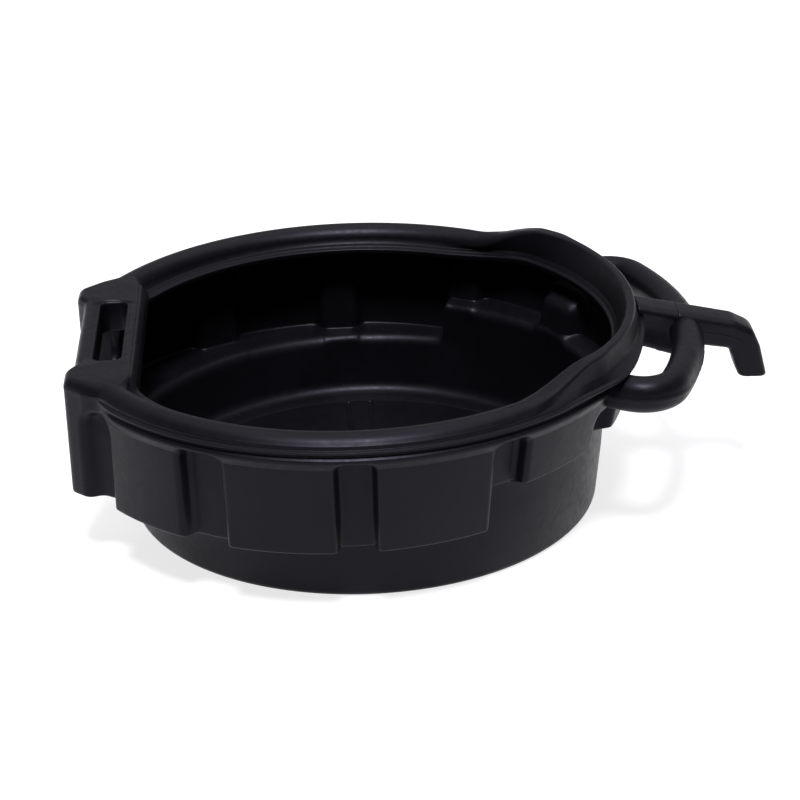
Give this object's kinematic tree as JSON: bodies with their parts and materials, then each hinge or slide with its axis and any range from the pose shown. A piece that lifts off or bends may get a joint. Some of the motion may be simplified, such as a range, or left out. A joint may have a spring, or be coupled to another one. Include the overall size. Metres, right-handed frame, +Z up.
{
  "type": "oil drain pan",
  "caption": "Black plastic oil drain pan: a round drum under a wider ribbed basin, with a slotted carrying grip, a raised pouring spout, and a ring handle and hook beyond it.",
  "frame": {"origin": "middle of the drum's flat base, on the floor", "axes": "+X towards the spout and hook, -X towards the carrying grip, +Z up; the pan is the same on both sides of the XZ plane"},
  "size_m": [0.534, 0.442, 0.1575],
  "materials": {
    "black_hdpe": "satin with a fine moulded grain, scuffed on the rim"
  },
  "bodies": {
    "root": {"drum_floor": "black_hdpe", "drum_corner": "black_hdpe", "drum_wall": "black_hdpe", "spout_side_drum_wall": "black_hdpe", "deep_ledge_front": "black_hdpe", "deep_ledge_rear": "black_hdpe", "spout_ledge": "black_hdpe", "ledge_riser_front": "black_hdpe", "ledge_riser_rear": "black_hdpe", "wall_panel_1_front": "black_hdpe", "wall_panel_1_rear": "black_hdpe", "wall_panel_2_front": "black_hdpe", "wall_panel_2_rear": "black_hdpe", "wall_panel_3_front": "black_hdpe", "wall_panel_3_rear": "black_hdpe", "wall_panel_4_front": "black_hdpe", "wall_panel_4_rear": "black_hdpe", "spout_panel": "black_hdpe", "groove_1_front": "black_hdpe", "groove_1_rear": "black_hdpe", "groove_2_front": "black_hdpe", "groove_2_rear": "black_hdpe", "groove_3_front": "black_hdpe", "groove_3_rear": "black_hdpe", "groove_4_front": "black_hdpe", "groove_4_rear": "black_hdpe", "groove_5_front": "black_hdpe", "groove_5_rear": "black_hdpe", "corner_post_front": "black_hdpe", "corner_post_rear": "black_hdpe", "end_wall": "black_hdpe", "rim_front": "black_hdpe", "rim_rear": "black_hdpe", "spout_wing_front": "black_hdpe", "spout_wing_rear": "black_hdpe", "spout_lip": "black_hdpe", "end_lip": "black_hdpe", "post_cap_front": "black_hdpe", "post_cap_rear": "black_hdpe", "grip_bar": "black_hdpe", "ring_root_front": "black_hdpe", "ring_root_rear": "black_hdpe", "ring_corner_front": "black_hdpe", "ring_corner_rear": "black_hdpe", "ring_arc": "black_hdpe", "hook_web": "black_hdpe", "hook_arm": "black_hdpe", "hook_tip": "black_hdpe"}
  },
  "joints": []
}
